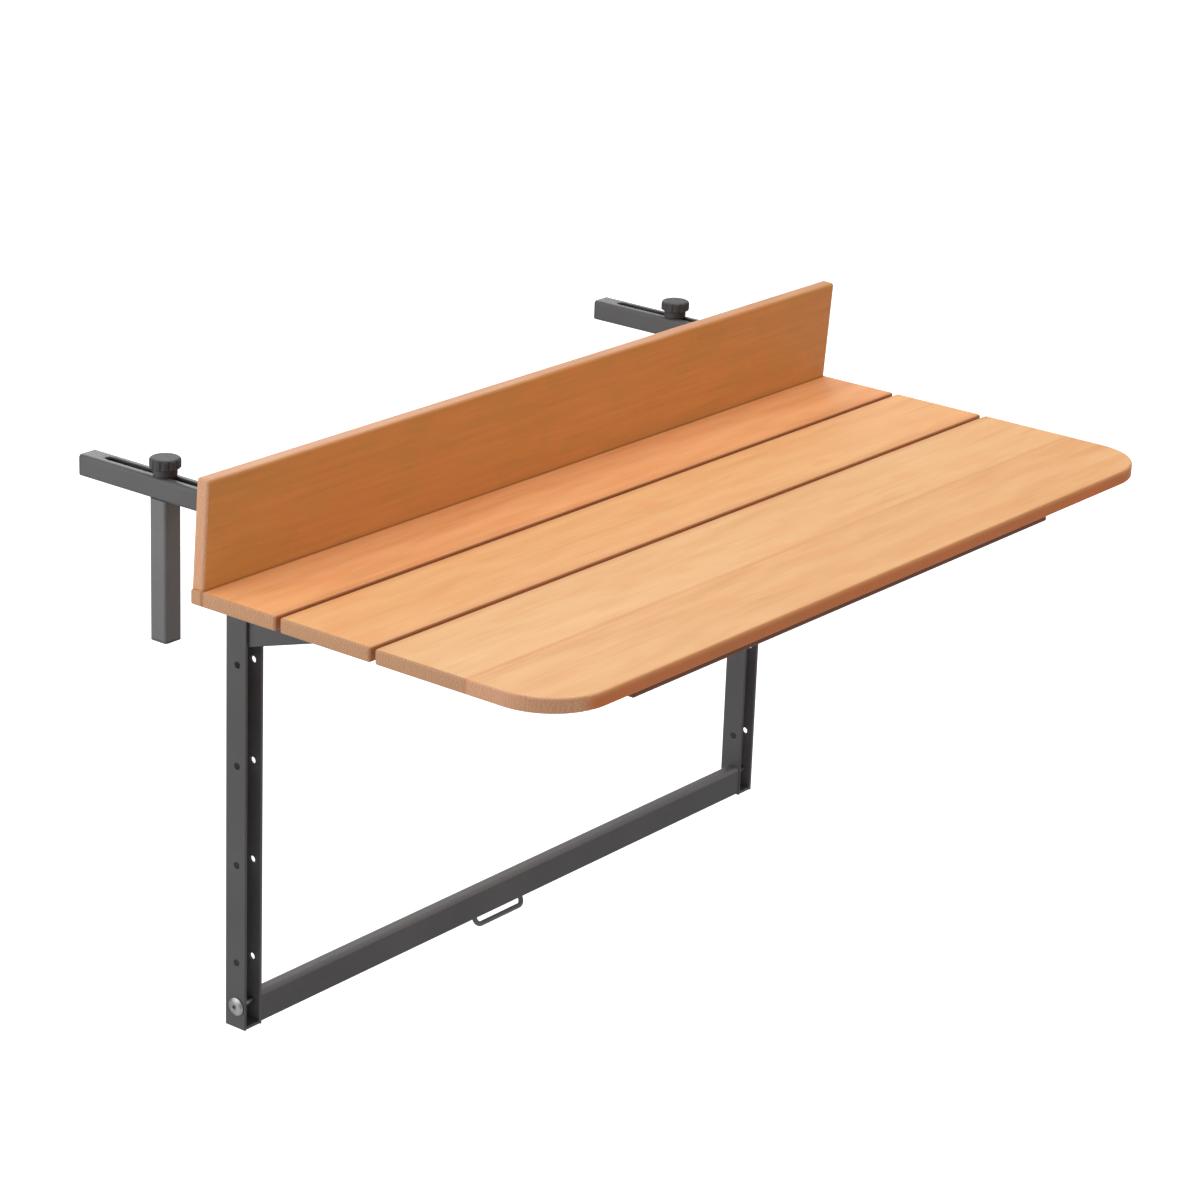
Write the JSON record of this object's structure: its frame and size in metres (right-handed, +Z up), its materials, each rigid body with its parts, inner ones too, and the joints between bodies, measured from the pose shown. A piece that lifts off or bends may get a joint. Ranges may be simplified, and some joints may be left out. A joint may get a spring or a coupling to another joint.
{
  "type": "balcony railing bar table",
  "caption": "Slatted wooden bar top with a low backboard on a steel frame that hooks over a balcony rail and is held by two sliding jaws with hand knobs.",
  "frame": {"origin": "midway between the hanger arms, where the uprights' rear faces meet the plane of the arms' undersides, that is the top front edge of the rail", "axes": "+X along the table's length, to the right for a person at the table. +Y away from that person, over the rail. +Z up."},
  "size_m": [0.9, 0.6075, 0.5458],
  "materials": {
    "rear_wood": "oiled",
    "middle_wood": "oiled",
    "front_wood": "oiled",
    "edge_wood": "oiled",
    "backboard_wood": "oiled",
    "batten_wood": "oiled",
    "coated_steel": "satin powder coat",
    "zinc": "zinc plated",
    "cap_plastic": "satin",
    "black_plastic": "matte",
    "knob_plastic": "matte"
  },
  "bodies": {
    "frame": {"left_upright": "coated_steel", "right_upright": "coated_steel", "left_foot_plate": "coated_steel", "right_foot_plate": "coated_steel", "crossbar": "coated_steel", "left_crossbar_plug": "zinc", "right_crossbar_plug": "zinc", "crossbar_bolts": "zinc", "hook_bolts": "zinc", "hook_nuts": "zinc", "tie_down_loop": "coated_steel", "left_hanger_arm": "coated_steel", "right_hanger_arm": "coated_steel", "left_arm_end_cap": "cap_plastic", "right_arm_end_cap": "cap_plastic"},
    "top": {"rear_board": "rear_wood", "middle_board": "middle_wood", "front_inner_board": "front_wood", "front_outer_board": "edge_wood", "backboard": "backboard_wood", "front_batten": "batten_wood", "middle_cleat": "batten_wood", "bracket_screws": "zinc", "cleat_screws": "zinc", "batten_screws": "zinc", "backboard_screws": "zinc", "left_bracket": "coated_steel", "right_bracket": "coated_steel"},
    "left_jaw": {"left_jaw": "coated_steel", "left_jaw_insert": "zinc", "left_jaw_foot_cap": "cap_plastic", "left_clamp_washer": "black_plastic"},
    "left_knob": {"left_knob": "knob_plastic", "left_clamp_stud": "zinc"},
    "right_jaw": {"right_jaw": "coated_steel", "right_jaw_insert": "zinc", "right_jaw_foot_cap": "cap_plastic", "right_clamp_washer": "black_plastic"},
    "right_knob": {"right_knob": "knob_plastic", "right_clamp_stud": "zinc"}
  },
  "joints": [
    {"name": "top_lift", "type": "slide", "parent": "frame", "child": "top", "axis": [0, 0, 1], "range_m": [0, 0.13]},
    {"name": "left_jaw_slide", "type": "slide", "parent": "frame", "child": "left_jaw", "axis": [0, 1, 0], "range_m": [-0.0535, 0.066]},
    {"name": "left_knob_turn", "type": "hinge", "parent": "left_jaw", "child": "left_knob", "pos_m": [-0.363, 0.088, 0], "axis": [0, 0, 1], "range_deg": [0, 720]},
    {"name": "right_jaw_slide", "type": "slide", "parent": "frame", "child": "right_jaw", "axis": [0, 1, 0], "range_m": [-0.0535, 0.066]},
    {"name": "right_knob_turn", "type": "hinge", "parent": "right_jaw", "child": "right_knob", "pos_m": [0.363, 0.088, 0], "axis": [0, 0, 1], "range_deg": [0, 720]}
  ]
}
